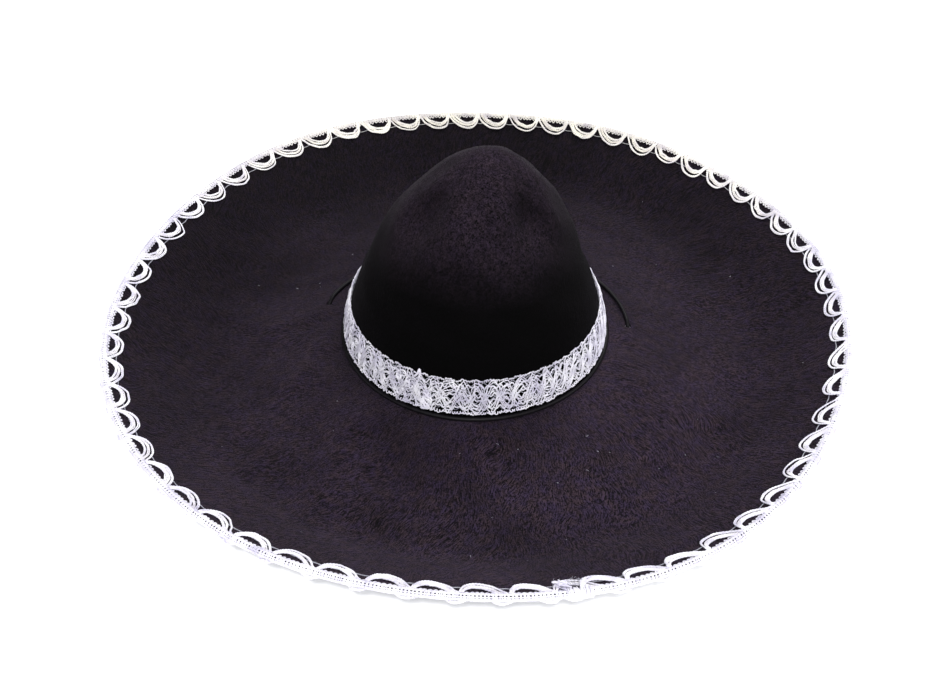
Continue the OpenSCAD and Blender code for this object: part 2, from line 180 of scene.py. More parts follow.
class Shell:
    """Quads of one mesh, collected patch by patch, with a UV for every corner."""

    def __init__(self):
        self.points, self.faces, self.uvs, self.count = [], [], [], 0

    def grid(self, points, wrap_rows=False, wrap_columns=False, u=None, v=None):
        """Adds rows x columns points as quads; u and v are the UVs of the rows and columns."""
        rows, columns = points.shape[:2]
        i = np.arange(rows if wrap_rows else rows - 1)
        j = np.arange(columns if wrap_columns else columns - 1)
        i, j = [x.ravel() for x in np.meshgrid(i, j, indexing="ij")]
        corners = [(0, 0), (1, 0), (1, 1), (0, 1)]
        u = np.arange(rows + 1.0) if u is None else u
        v = np.arange(columns + 1.0) if v is None else v
        quad = [((i + a) % rows) * columns + (j + b) % columns for a, b in corners]
        uv = [np.stack([u[i + a], v[j + b]], -1) for a, b in corners]
        self.points.append(points.reshape(-1, 3))
        self.faces.append(np.stack(quad, -1) + self.count)
        self.uvs.append(np.stack(uv, 1).reshape(-1, 2))
        self.count += rows * columns

    def quads(self, quads, uv):
        """Adds quads between points that are already there."""
        self.faces.append(quads)
        self.uvs.append(np.repeat(np.asarray([uv], float), quads.size, 0))

    def tube(self, path, radius, normal, sides=6, closed=False):
        """Sweeps a round section along path. normal is a direction that path never takes."""
        path = np.asarray(path, float)
        side, up, steps = sweep_frame(path, normal, closed)
        around = 2 * np.pi * (np.arange(sides) + 0.5) / sides
        ring = np.cos(around)[:, None] * side[:, None] + np.sin(around)[:, None] * up[:, None]
        along = np.concatenate([[0], np.cumsum(steps)])
        first = self.count
        self.grid(path[:, None] + radius * ring, closed, True, along, np.arange(sides + 1) / sides)
        if not closed:
            cap = cap_quads(sides)
            self.quads(first + cap, (0, 0))
            self.quads(first + (len(path) - 1) * sides + cap[:, ::-1], (along[-2], 0))

    def yarn(self, path, d, normal, pitch, closed=False, sides=6, phase=0.0):
        """A yarn of thickness d made of two plies that twist round each other once in pitch."""
        path = np.asarray(path, float)
        side, up, steps = sweep_frame(path, normal, closed)
        total = steps.sum() if closed else steps[:-1].sum()
        turns = total / pitch
        if closed:
            turns = round(turns)
        along = np.concatenate([[0], np.cumsum(steps)[:-1]]) / total
        for ply in range(2):
            angle = 2 * np.pi * (turns * along + ply / 2) + phase
            shift = np.cos(angle)[:, None] * side + np.sin(angle)[:, None] * up
            self.tube(path + 0.22 * d * shift, 0.3 * d, normal, sides, closed)

    def piece(self, name, material, *, replaces=(), body=HAT):
        """Makes the mesh object, which rides on body and stands for the CAD nodes that it replaces."""
        points, faces = np.concatenate(self.points), np.concatenate(self.faces)
        mesh = bpy.data.meshes.new(name)
        mesh.vertices.add(len(points))
        mesh.vertices.foreach_set("co", points.astype(np.float32).ravel())
        mesh.loops.add(faces.size)
        mesh.loops.foreach_set("vertex_index", faces.astype(np.int32).ravel())
        mesh.polygons.add(len(faces))
        mesh.polygons.foreach_set("loop_start", np.arange(0, faces.size, 4, dtype=np.int32))
        mesh.update(calc_edges=True)
        layer = mesh.uv_layers.new(name="UVMap")
        layer.data.foreach_set("uv", np.concatenate(self.uvs).astype(np.float32).ravel())
        mesh.shade_smooth()
        mesh.materials.append(material)
        obj = bpy.data.objects.new(name, mesh)
        bpy.context.scene.collection.objects.link(obj)
        if body:
            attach(obj, body)
        if replaces:
            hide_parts(*replaces)
        return obj


def smooth_path(points, per_span=6, closed=False):
    """A smooth curve through points, with per_span steps between each two of them."""
    p = np.asarray(points, float)
    n = len(p)
    if closed:
        before, after, after_that = np.roll(p, 1, 0), np.roll(p, -1, 0), np.roll(p, -2, 0)
        start = p
    else:
        padded = np.concatenate([[2 * p[0] - p[1]], p, [2 * p[-1] - p[-2]]])
        before, start, after, after_that = [padded[k:n - 1 + k] for k in range(4)]
    t = (np.arange(per_span) / per_span)[:, None, None]
    curve = 0.5 * (
        2 * start + (after - before) * t
        + (2 * before - 5 * start + 4 * after - after_that) * t ** 2
        + (3 * start - before - 3 * after + after_that) * t ** 3
    )
    curve = curve.transpose(1, 0, 2).reshape(-1, p.shape[1])
    return curve if closed else np.concatenate([curve, p[-1:]])


# ---- Materials ----
class Nodes:
    """Builds one material's node tree round its Principled shader."""

    def __init__(self, name, **values):
        self.material = bpy.data.materials.new(name)
        self.material.use_nodes = True
        self.tree = self.material.node_tree
        self.shader = self.tree.nodes["Principled BSDF"]
        for socket, value in values.items():
            self.shader.inputs[socket.replace("_", " ")].default_value = value

    def add(self, kind, inputs=None, **settings):
        node = self.tree.nodes.new(kind)
        for key, value in settings.items():
            setattr(node, key, value)
        for key, value in (inputs or {}).items():
            self.put(value, node.inputs[key])
        return node

    def put(self, value, socket):
        """Links an output socket, or sets a plain value."""
        if isinstance(value, bpy.types.NodeSocket):
            self.tree.links.new(value, socket)
        else:
            socket.default_value = value

    def math(self, operation, a, b=0.0):
        return self.add("ShaderNodeMath", {0: a, 1: b}, operation=operation).outputs[0]

    def weigh(self, a, share, b):
        """A share of a, and the rest of b."""
        rest = self.math("MULTIPLY", b, 1 - share)
        return self.math("ADD", self.math("MULTIPLY", a, share), rest)

    def vector(self, operation, a, b=(0, 0, 0), scale=1.0):
        node = self.add("ShaderNodeVectorMath", {0: a, 1: b, 3: scale}, operation=operation)
        return node.outputs["Value" if operation in ("LENGTH", "DOT_PRODUCT") else "Vector"]

    def place(self):
        """Position on the object, in metres in the hat's frame."""
        return self.add("ShaderNodeTexCoord").outputs["Object"]

    def noise(self, vector, scale, detail=2.0, roughness=0.5, distortion=0.0):
        node = self.add(
            "ShaderNodeTexNoise",
            {"Vector": vector, "Scale": scale, "Detail": detail, "Roughness": roughness,
             "Distortion": distortion},
        )
        return node.outputs["Fac"]

    def spread(self, value, low, high, to_low=0.0, to_high=1.0):
        """Maps low..high to to_low..to_high, clamped."""
        node = self.add(
            "ShaderNodeMapRange",
            {"Value": value, "From Min": low, "From Max": high, "To Min": to_low, "To Max": to_high},
        )
        return node.outputs["Result"]

    def multiply(self, a, b):
        return self.mix(1.0, a, b, "MULTIPLY")

    def grey(self, value):
        """A number as a colour. It may be above 1."""
        return self.add("ShaderNodeCombineColor", {"Red": value, "Green": value, "Blue": value}).outputs[0]

    def mix(self, factor, a, b, blend="MIX"):
        node = self.add("ShaderNodeMix", data_type="RGBA", blend_type=blend)
        self.put(factor, node.inputs[0])
        self.put(a if isinstance(a, bpy.types.NodeSocket) else (*a, 1), node.inputs[6])
        self.put(b if isinstance(b, bpy.types.NodeSocket) else (*b, 1), node.inputs[7])
        return node.outputs[2]

    def bump(self, height, distance, strength=1.0, below=None):
        inputs = {"Height": height, "Distance": distance, "Strength": strength}
        if below is not None:
            inputs["Normal"] = below
        return self.add("ShaderNodeBump", inputs).outputs["Normal"]

    def finish(self, color=None, roughness=None, normal=None):
        for value, socket in ((color, "Base Color"), (roughness, "Roughness"), (normal, "Normal")):
            if value is not None:
                self.put(value, self.shader.inputs[socket])
        return self.material


def brim_felt():
    """Black felt with a nap combed outwards, which shows as fine wavy streaks. Its colour also holds painted
    light: lighter towards the front, the right and on the flat, darker towards the back, the left and on the
    upturned slope.
    """
    n = Nodes("brim_felt", Roughness=0.85, Specular_IOR_Level=0.08, Sheen_Weight=0.05,
              Sheen_Roughness=0.4, Sheen_Tint=(0.9, 0.72, 1, 1))
    place = n.place()
    drift = n.add("ShaderNodeTexNoise", {"Vector": place, "Scale": 14.0, "Detail": 2.0})
    drift = n.vector("SCALE", n.vector("SUBTRACT", drift.outputs["Color"], (0.5, 0.5, 0.5)), scale=0.05)
    swirled = n.vector("ADD", place, drift)
    flat = n.vector("MULTIPLY", swirled, (1, 1, 0))
    reach = n.vector("LENGTH", flat)
    turned = n.add(
        "ShaderNodeVectorRotate",
        {"Vector": flat, "Angle": n.math("MULTIPLY", reach, 1.6)},
        rotation_type="Z_AXIS",
    ).outputs["Vector"]
    outwards = n.vector("SCALE", n.vector("NORMALIZE", turned), scale=0.2)
    lane = n.add("ShaderNodeCombineXYZ", {"Z": n.math("MULTIPLY", reach, 0.22)}).outputs[0]
    streak_place = n.vector("ADD", outwards, lane)
    streaks = n.noise(streak_place, 1300.0, 2.0, 0.6, 0.5)
    grain = n.noise(place, 900.0, 2.0, 0.7)
    clouds = n.noise(place, 16.0, 3.0, 0.55)
    tint = n.noise(n.vector("ADD", place, (3, 1, 2)), 160.0, 2.0, 0.5)
    shade = n.weigh(streaks, 0.6, grain)
    base = n.mix(n.spread(shade, 0.43, 0.58), (0.0005, 0.0002, 0.0007), (0.0235, 0.0162, 0.0255))
    warm = n.mix(n.spread(tint, 0.35, 0.65), (0.9, 0.86, 1.18), (1.1, 1.0, 0.88))
    cloudy = n.mix(n.spread(clouds, 0.3, 0.7), (0.7, 0.7, 0.7), (1.25, 1.25, 1.25))
    # Painted light and shade: the colour is lightened towards the front and right and darkened towards the
    # back and left. It is also lightened on the flat part of the brim against its slope. Both stand in for
    # the lamps' light and sheen.
    where = n.add("ShaderNodeSeparateXYZ", {"Vector": place}).outputs
    slanting = n.math("SUBTRACT", where["Y"], n.math("MULTIPLY", where["X"], 0.55))
    wear_and_painted_light = n.spread(slanting, -0.2, 0.2, 1.2, 0.45)
    level = n.spread(reach, 0.17, 0.23, 1.2, 0.85)
    color = n.multiply(n.multiply(n.multiply(base, warm), cloudy), n.grey(n.math("MULTIPLY", wear_and_painted_light, level)))
    lumps = n.bump(clouds, 0.0012, 0.5)
    nap = n.bump(n.math("ADD", streaks, n.math("MULTIPLY", grain, 0.6)), 0.0009, 1.0, lumps)
    return n.finish(color, n.spread(streaks, 0.3, 0.7, 0.78, 0.95), nap)


def crown_felt():
    """The same felt pressed over a block: a short nap with coarse grain. Its colour holds painted shade:
    almost black near the band, and darker where the felt faces sideways or down than where it faces up.
    """
    n = Nodes("crown_felt", Roughness=0.95, Specular_IOR_Level=0.06, Sheen_Weight=0.01,
              Sheen_Roughness=0.3, Sheen_Tint=(0.9, 0.78, 1, 1))
    place = n.place()
    fine = n.noise(place, 1100.0, 2.0, 0.7, 0.6)
    combed = n.noise(n.vector("MULTIPLY", place, (1, 1, 0.45)), 500.0, 2.0, 0.6, 0.8)
    fuzz = n.weigh(fine, 0.6, combed)
    clouds = n.noise(place, 26.0, 3.0, 0.55)
    tint = n.noise(n.vector("ADD", place, (1, 2, 3)), 150.0, 2.0, 0.5)
    base = n.mix(n.spread(fuzz, 0.4, 0.64), (0.0008, 0.0005, 0.0009), (0.03, 0.0208, 0.032))
    warm = n.mix(n.spread(tint, 0.35, 0.65), (0.97, 0.95, 1.05), (1.03, 1.0, 0.96))
    cloudy = n.mix(n.spread(clouds, 0.3, 0.7), (0.75, 0.75, 0.75), (1.2, 1.2, 1.2))
    # Painted shade and light: the colour darkens towards the band for the crown's own shadow. It also darkens
    # where the felt faces sideways or down, and lightens where it faces up, as if lit from above.
    height = n.add("ShaderNodeSeparateXYZ", {"Vector": place}).outputs["Z"]
    low = n.spread(height, 0.09, 0.122, 0.08, 1.0)
    normal = n.add("ShaderNodeTexCoord").outputs["Normal"]
    upwards = n.add("ShaderNodeSeparateXYZ", {"Vector": normal}).outputs["Z"]
    painted_top_light = n.math("MULTIPLY", n.spread(upwards, 0.3, 0.9, 0.3, 1.1), low)
    color = n.multiply(n.multiply(n.multiply(base, warm), cloudy), n.grey(painted_top_light))
    lumps = n.bump(clouds, 0.0015, 0.5)
    nap = n.bump(fuzz, 0.0009, 1.0, lumps)
    return n.finish(color, n.spread(fuzz, 0.3, 0.7, 0.85, 1.0), nap)


def lace(name, light, dark):
    """Shiny crochet yarn with fibres that follow its twist. Towards the back of the hat its colour turns a
    little yellow: a painted warm light from behind.
    """
    n = Nodes(name, Roughness=0.4, Specular_IOR_Level=0.6, Sheen_Weight=0.15, Sheen_Roughness=0.4)
    uv = n.add("ShaderNodeTexCoord").outputs["UV"]
    place = n.place()
    lane = n.add("ShaderNodeMapping", {"Vector": uv, "Scale": (900.0, 3.0, 1.0)}).outputs[0]
    fibres = n.noise(lane, 1.0, 2.0, 0.6, 1.5)
    patches = n.noise(place, 90.0, 2.0, 0.5)
    mixed = n.weigh(fibres, 0.5, patches)
    color = n.mix(n.spread(mixed, 0.35, 0.62), dark, light)
    # Painted light: the yarn is tinted yellow towards the back of the hat, for warm light from behind.
    across = n.add("ShaderNodeSeparateXYZ", {"Vector": place}).outputs["Y"]
    color = n.multiply(color, n.mix(n.spread(across, 0.08, 0.24), (1, 1, 1), (1.0, 0.98, 0.82)))
    nap = n.bump(fibres, 0.0002, 0.6)
    return n.finish(color, n.spread(fibres, 0.3, 0.7, 0.25, 0.45), nap)


def thread():
    """Fine grey thread for stitches and tacks, for pieces that have no UVs."""
    n = Nodes("thread_grey", Roughness=0.6, Specular_IOR_Level=0.4, Sheen_Weight=0.2, Sheen_Roughness=0.4)
    plies = n.add("ShaderNodeTexWave", {"Vector": n.place(), "Scale": 500.0, "Distortion": 2.0},
                  bands_direction="DIAGONAL").outputs["Fac"]
    color = n.mix(plies, (0.36, 0.36, 0.4), (0.62, 0.62, 0.66))
    return n.finish(color, n.spread(plies, 0, 1, 0.5, 0.7), n.bump(plies, 0.0001, 0.6))


def leather(name, light, dark, grain_size, gloss):
    """Grained leather: small cells with rounded tops, and a slow change of tone."""
    n = Nodes(name, Roughness=gloss, Specular_IOR_Level=0.4)
    place = n.place()
    wobble = n.noise(place, 0.6 * grain_size, 2.0)
    moved = n.vector("ADD", place, n.vector("SCALE", n.grey(wobble), scale=0.0012))
    cells = n.add("ShaderNodeTexVoronoi", {"Vector": moved, "Scale": grain_size}).outputs["Distance"]
    tone = n.noise(place, 45.0, 3.0, 0.6)
    wear_and_painted_light = n.weigh(cells, 0.4, tone)
    color = n.mix(n.spread(wear_and_painted_light, 0.25, 0.65), dark, light)
    return n.finish(color, n.spread(tone, 0.3, 0.7, gloss - 0.08, gloss + 0.12), n.bump(cells, -0.0003, 0.7))


def ribbed_tape():
    n = Nodes("tape_ribbed", Roughness=0.8, Sheen_Weight=0.2, Sheen_Roughness=0.4)
    ribs = n.add("ShaderNodeTexWave", {"Vector": n.place(), "Scale": 260.0, "Distortion": 0.4},
                 bands_direction="Z").outputs["Fac"]
    color = n.mix(ribs, (0.018, 0.017, 0.016), (0.05, 0.047, 0.044))
    return n.finish(color, n.spread(ribs, 0, 1, 0.9, 0.7), n.bump(ribs, 0.0003, 0.8))


def satin_cord():
    n = Nodes("cord_satin", Roughness=0.5, Specular_IOR_Level=0.12)
    uv = n.add("ShaderNodeTexCoord").outputs["UV"]
    lane = n.add("ShaderNodeMapping", {"Vector": uv, "Scale": (1500.0, 2.0, 1.0)}).outputs[0]
    ribs = n.noise(lane, 1.0, 1.0, 0.5)
    color = n.mix(n.spread(ribs, 0.35, 0.65), (0.002, 0.0017, 0.0023), (0.0065, 0.0055, 0.0075))
    return n.finish(color, n.spread(ribs, 0.3, 0.7, 0.4, 0.6), n.bump(ribs, 0.0001, 0.5))


def steel():
    n = Nodes("steel", Metallic=1.0)
    place = n.place()
    drawn = n.noise(n.vector("MULTIPLY", place, (1, 1, 0.2)), 300.0, 2.0)
    color = n.mix(n.spread(drawn, 0.3, 0.7), (0.34, 0.35, 0.37), (0.52, 0.53, 0.55))
    return n.finish(color, n.spread(drawn, 0.3, 0.7, 0.3, 0.5), n.bump(drawn, 0.0001, 0.3))


FELT_BRIM = brim_felt()
FELT_CROWN = crown_felt()
SILVER = lace("lace_silver", (0.92, 0.91, 0.96), (0.52, 0.49, 0.64))
CREAM = lace("lace_cream", (0.92, 0.91, 0.93), (0.54, 0.5, 0.58))
GREY = lace("lace_grey", (0.42, 0.42, 0.48), (0.2, 0.2, 0.26))
SATIN = satin_cord()
THREAD = thread()
SWEAT_LEATHER = leather("sweatband_leather", (0.05, 0.043, 0.038), (0.016, 0.014, 0.013), 900.0, 0.42)
SLIDE_LEATHER = leather("slide_leather", (0.12, 0.062, 0.034), (0.035, 0.018, 0.011), 1100.0, 0.4)
RIBBED = ribbed_tape()
STEEL = steel()


# ---- Felt ----
def felt_noise(angle, r, waves):
    """A soft unevenness from a few crossing waves: (waves in one turn, ripples along r, phase, height)."""
    total = 0
    for turns, ripples, phase, height in waves:
        total = total + height * np.sin(np.radians(angle) * turns + ripples * r + phase)
    return total


CROWN_WAVES = [(3, 9, 0.4, 0.9 * MM), (5, -14, 2.0, 0.6 * MM), (9, 25, 4.4, 0.4 * MM)]
BRIM_WAVES = [
    (3, 20, 0.3, 0.35 * MM), (5, -34, 1.9, 0.3 * MM), (8, 52, 4.0, 0.22 * MM),
    (13, -75, 2.2, 0.16 * MM), (19, 110, 5.1, 0.1 * MM), (29, -160, 0.9, 0.07 * MM),
]


def fade(x, low, high):
    """Rises smoothly from 0 at low to 1 at high."""
    t = np.clip((x - low) / (high - low), 0, 1)
    return t * t * (3 - 2 * t)


def make_brim():
    around, top_rows, under_rows = 600, 96, 48
    angle = np.arange(around) * 360 / around
    top_r = np.linspace(EDGE_UNDER_R, OPEN_R, top_rows)
    under_r = np.linspace(OPEN_R, EDGE_UNDER_R, under_rows)
    shell = Shell()
    rows = []
    for r in top_r:
        tilt = float(brim_tilt(r)) if r > OPEN_R + 0.1 * MM else 0.0
        quiet = fade(r, 106 * MM, 124 * MM) * (1 - fade(r, BRIM_R - 22 * MM, BRIM_R - 10 * MM))
        lump = quiet * felt_noise(angle, r, BRIM_WAVES)
        out = r - FELT_T * math.sin(tilt)
        height = float(brim_z(r)) + FELT_T * math.cos(tilt) + lump + edge_wave(angle) * wave_share(r)
        rows.append(polar(angle, out + edge_bulge(angle) * wave_share(r), height))
    for r in under_r:
        share = wave_share(r)
        rows.append(polar(angle, r + edge_bulge(angle) * share, float(brim_z(r)) + edge_wave(angle) * share))
    shell.grid(np.stack(rows), wrap_rows=True, wrap_columns=True)
    brim = shell.piece("brim_felt", FELT_BRIM, replaces=["brim"])
    drill(brim, [(HOLE_ANGLE, HOLE_R), (180 - HOLE_ANGLE, HOLE_R)])
    return brim


def drill(obj, holes):
    """Cuts round holes, given as direction and radius, straight down through obj."""
    cutter = Shell()
    sides = 24
    for angle, r in holes:
        middle = polar(angle, r, 0.0)
        path = middle + np.array([[0, 0, -5 * MM], [0, 0, 3 * BRIM_ARCH]])
        cutter.tube(path, HOLE_D / 2, (1, 0, 0), sides)
    tool = cutter.piece("cutter", FELT_BRIM)
    cut = obj.modifiers.new("holes", "BOOLEAN")
    cut.object, cut.operation, cut.solver = tool, "DIFFERENCE", "EXACT"
    deps = bpy.context.evaluated_depsgraph_get()
    drilled = bpy.data.meshes.new_from_object(obj.evaluated_get(deps))
    obj.modifiers.remove(cut)
    obj.data = drilled
    obj.data.shade_smooth()
    bpy.data.objects.remove(tool)


def bump(x):
    """A smooth bump from -1 to 1, which is 1 high at 0."""
    return np.where(np.abs(x) < 1, np.cos(np.pi / 2 * np.clip(x, -1, 1)) ** 2, 0)


def crown_point(angle, h, inset):
    """A point on the crown's outside, or on its inside where inset is the felt's thickness."""
    aside = angle - FRONT
    pinches = bump((aside - PINCH_ANGLE) / PINCH_WIDTH) + bump((aside + PINCH_ANGLE) / PINCH_WIDTH)
    r = (CROWN_R - inset) * crown_profile(h) - PINCH_DEPTH * bump((h - PINCH_MIDDLE) / PINCH_REACH) * pinches
    if not inset:
        r = r + fade(h, 0.28, 0.42) * (1 - fade(h, 0.9, 0.99)) * felt_noise(angle, h, CROWN_WAVES)
    point = polar(angle, r, CROWN_BASE + (CROWN_H - inset) * h)
    point[..., 0] += CROWN_LEAN * h ** 3
    return point


def make_crown():
    around, outer_rows, inner_rows = 360, 120, 60
    angle = np.arange(around) * 360 / around - 180
    foot_r = 108 * MM
    foot_top = float(brim_z(foot_r)) - 0.1 * MM
    foot_bottom = BRIM_ARCH - 2.8 * MM
    tip = 0.99999
    heights = np.sin(np.pi / 2 * np.linspace(0, 1, outer_rows)) * tip
    inner_heights = np.sin(np.pi / 2 * np.linspace(0, 1, inner_rows))[::-1] * tip
    rows = [crown_point(angle, h, FELT_T) for h in inner_heights]
    inner_r = CROWN_R - FELT_T
    for r, z in ((inner_r, foot_bottom), (foot_r, foot_bottom), (foot_r, foot_top), (CROWN_R, foot_top)):
        rows.append(polar(angle, r, z))
    rows += [crown_point(angle, h, 0) for h in heights]
    shell = Shell()
    shell.grid(np.stack(rows), wrap_columns=True)
    cap = cap_quads(around)
    shell.quads(cap[:, ::-1], (0, 0))
    shell.quads((len(rows) - 1) * around + cap, (0, 0))
    return shell.piece("crown_felt", FELT_CROWN, replaces=["crown"])


# ---- Chin cord ----
CORD_REST = CORD_D / 2 + 0.2 * MM
TURN_R = CROWN_R + 2.8 * MM
OUTER_R = TURN_R + 4 * MM
IN_HOLE = -FELT_T / 2 - 0.1 * MM
UNDER_HOLE = -FELT_T - 1.8 * MM


def on_brim(direction, r_mm, over=CORD_REST):
    """A route point: direction in degrees, radius in millimetres, height over the brim's top in metres."""
    r = r_mm * MM
    return polar(direction, r, float(brim_top(r)) + over)


def wrap_route():
    """The cord round the crown's foot, from hole to hole: a lap and a half, which crosses over itself."""
    start = [
        (180 - HOLE_ANGLE + 2.5, 118.3, UNDER_HOLE), (180 - HOLE_ANGLE, 118, IN_HOLE),
        (169.5, 117.5, 1.1 * MM), (166, 116.5), (160, 114), (152, 110), (144, 106.5),
    ]
    behind = [(direction, OUTER_R / MM) for direction in range(135, 69, -13)]
    inwards = [(62, 103.9), (54, 102.9), (46, 101.8), (38, 101.1), (29, TURN_R / MM)]
    turn = [(16 - 15 * i, TURN_R / MM) for i in range(20)]
    over = [
        (78, TURN_R / MM, 2.2 * MM), (70, 100.9, 3.6 * MM), (64, 102, 5.2 * MM),
        (58, 103.6, 5.6 * MM), (52, 105.6, 4.6 * MM), (46, 107.8, 2.6 * MM),
        (39, 110.4), (31, 113.4), (23, 115.6),
        (16, 117), (10.5, 117.7, 1.1 * MM), (HOLE_ANGLE, 118, IN_HOLE),
        (HOLE_ANGLE - 2.5, 118.3, UNDER_HOLE),
    ]
    return [on_brim(*p) for p in start + behind + inwards + turn + over]


def free_route():
    """The right free end, from under its hole to the knot; the left one is its mirror image."""
    table = CORD_D / 2 + 0.2 * MM
    slide = 3.3 * MM
    points = [
        (118, 5, 4 * MM), (118, -1, 2.1 * MM), (116.5, -9, table), (112, -23, table),
        (104, -39, table), (92, -55, table), (77, -69, table), (59, -80, table),
        (41, -84, table), (25, -81, table), (13, -73, 2.2 * MM), (6, -61, 2.8 * MM),
        (3, -46, slide), (3, 60, slide), (3, 72, slide),
    ]
    start = on_brim(HOLE_ANGLE - 2.5, 118.3, UNDER_HOLE)
    return [start] + [np.array([x * MM, y * MM, z]) for x, y, z in points]


def make_cords():
    wrap = Shell()
    wrap.tube(smooth_path(wrap_route(), 8), CORD_D / 2, UP, 16)
    wrap.piece("cord_wrap", SATIN, replaces=["chin_cord_wrap"])
    knot = make_knot()
    for side, name in ((1, "right"), (-1, "left")):
        route = np.array(free_route()) * [side, 1, 1]
        path = smooth_path(route, 8)
        shell = Shell()
        shell.tube(path, CORD_D / 2, UP, 16)
        end = shell.piece("cord_" + name, SATIN, replaces=["chin_cord_" + name])


def make_knot():
    """An overhand knot, drawn tight, as a closed trefoil."""
    middle = np.array([0, 75.5 * MM, 4.9 * MM])
    t = np.linspace(0, 2 * np.pi, 64, endpoint=False)
    trefoil = [np.sin(t) + 2 * np.sin(2 * t), np.cos(t) - 2 * np.cos(2 * t), -1.2 * np.sin(3 * t)]
    size = [1.05 * MM, 1.05 * MM, 1.0 * MM]
    shell = Shell()
    shell.tube(middle + np.stack(trefoil, -1) * size, 1.55 * MM, (0.03, 0.02, 1), 12, True)
    return shell.piece("cord_knot", SATIN, replaces=["chin_knot"])


# ---- Edge braid ----
# The braid runs clockwise from its join. Its last loop laps over its first one.
SHORT_STEP = 3.3
LONG_STEP = (360 - SHORT_STEP) / (LOOPS - 1)
BRAID_START = -70.0
YARN_D = 1.3 * MM
MM_TO_DEGREES = math.degrees(MM / BRIM_R)
YARN_OFF = FELT_T / 2 + YARN_D / 2
TWIST = 4 * MM

# The braid was stretched unevenly as it was sewn on, so that its loops drift to and fro:
# (waves in one turn, degrees, phase in degrees)
LOOP_DRIFT = [(1, 1.85, 139), (2, 0.75, 98), (3, 0.15, -27), (4, 0.7, 74)]

# A loop's outermost and innermost yarns:
# (millimetres along the edge, millimetres in from it, lift off the felt)
OUTERMOST = [
    (-3.0, 0.4, 0.9), (-0.8, 3.6, 0.2), (1.9, 7.6, 0.0), (5.5, 11.2, 0.3),
    (9.7, 13.6, 0.6), (14.7, 14.7, 0.8), (18.7, 14.2, 0.8), (21.8, 12.2, 0.9),
    (23.7, 9.0, 1.1), (24.7, 5.4, 1.5), (25.3, 2.2, 1.8), (25.5, 0.4, 1.2),
]
INNERMOST = [
    (3.7, 0.4, 0.9), (4.8, 2.0, 0.2), (6.6, 4.2, 0.0), (9.1, 6.2, 0.2),
    (12.0, 7.6, 0.4), (15.1, 8.2, 0.5), (17.8, 8.0, 0.6), (20.0, 7.0, 0.7),
    (21.6, 5.2, 0.9), (22.6, 3.2, 1.2), (23.2, 1.4, 1.4), (23.3, 0.4, 1.0),
]
LIFT_UNIT = 0.6 * MM


def loop_line(share, start, stretch, jitter, over=1, per_span=4):
    """A yarn of the loop that starts in direction start; over is -1 under the brim.

    share is 0 for the loop's outermost yarn and 1 for its innermost.
    """
    p = (1 - share) * np.array(OUTERMOST) + share * np.array(INNERMOST)
    p[1:-1, 1] *= stretch
    p[1:-1] += jitter
    p = smooth_path(p, per_span)
    off = over * (YARN_OFF + LIFT_UNIT * p[:, 2])
    return at_edge(start - p[:, 0] * MM_TO_DEGREES, -p[:, 1] * MM, off)


def edge_normal(angle):
    """The direction off the sloping felt at the edge."""
    a = math.radians(angle)
    sin, cos = math.sin(RIM_SLOPE), math.cos(RIM_SLOPE)
    return (-sin * math.cos(a), -sin * math.sin(a), cos)


def loop_starts():
    """The directions in which the loops start."""
    even = BRAID_START - np.arange(LOOPS) * LONG_STEP
    drift = 0
    for turns, height, phase in LOOP_DRIFT:
        drift = drift + height * np.sin(turns * np.radians(even) + math.radians(phase))
    return even + drift


def make_top_loops(luck):
    """The loops on top of the brim, each of three strands of two yarns."""
    strands = [
        ("loops_outer", (0.0, 0.16), SILVER, "lace_silver", "trim_outer_loops"),
        ("loops_middle", (0.5, 0.67), CREAM, "lace_cream", "trim_middle_loops"),
        ("loops_inner", (0.84, 1.0), SILVER, "lace_silver", "trim_inner_loops"),
    ]
    stretch = 0.95 + 0.05 * luck.randn(LOOPS).clip(-1.5, 1.2)
    shift = 0.5 * luck.randn(LOOPS).clip(-2, 2)
    drift = 0.06 * luck.randn(LOOPS, 3).clip(-1.6, 1.6)
    bends = len(OUTERMOST) - 2
    for strand, (name, shares, material, slot, node) in enumerate(strands):
        shell = Shell()
        for k, start in enumerate(loop_starts()):
            bend = 0.2 * luck.randn(bends, 3) * (1, 1, 0.5)
            lift = 1.3 if k == LOOPS - 1 else 0.0
            for share in shares:
                jitter = bend + 0.09 * luck.randn(bends, 3) + (0, 0, lift)
                jitter[:, 2] = np.abs(jitter[:, 2])
                share = min(1, max(0, share + drift[k, strand]))
                path = loop_line(share, start + shift[k] * MM_TO_DEGREES, stretch[k], jitter)
                shell.yarn(path, 1.1 * MM, edge_normal(start - 3), TWIST, phase=luck.rand() * 6)
        shell.piece(name, material, replaces=[node])


def make_under_loops(luck):
    """The loops under the brim, which show as bulges between the joints of the top loops."""
    shell = Shell()
    for start in loop_starts():
        for share in (0.0, 0.5, 1.0):
            jitter = 0.2 * luck.randn(len(OUTERMOST) - 2, 3) * (1, 1, 0)
            path = loop_line(share, start - LONG_STEP / 2, 0.9, jitter, -1, 3)
            shell.yarn(path, YARN_D, edge_normal(start - 3), 5 * MM)
        for lift in (0.0, 0.7):
            bulge = [(-6.5, 1.6, -2.6), (-4.5, -0.6, -2.9), (-2, -2.0, -2.7 - lift), (0.6, -2.4, -2.7 - lift),
                     (3.2, -1.8, -2.8 - lift), (5.4, -0.4, -2.9), (7.2, 1.6, -2.6)]
            b = smooth_path(np.array(bulge) + 0.2 * luck.randn(7, 3), 3) * MM
            angle = start - LONG_STEP - b[:, 0] / MM * MM_TO_DEGREES
            shell.yarn(at_edge(angle, -b[:, 1], b[:, 2]), YARN_D, edge_normal(start), 5 * MM)
    shell.piece("loops_under", SILVER, replaces=["trim_under_loops"])


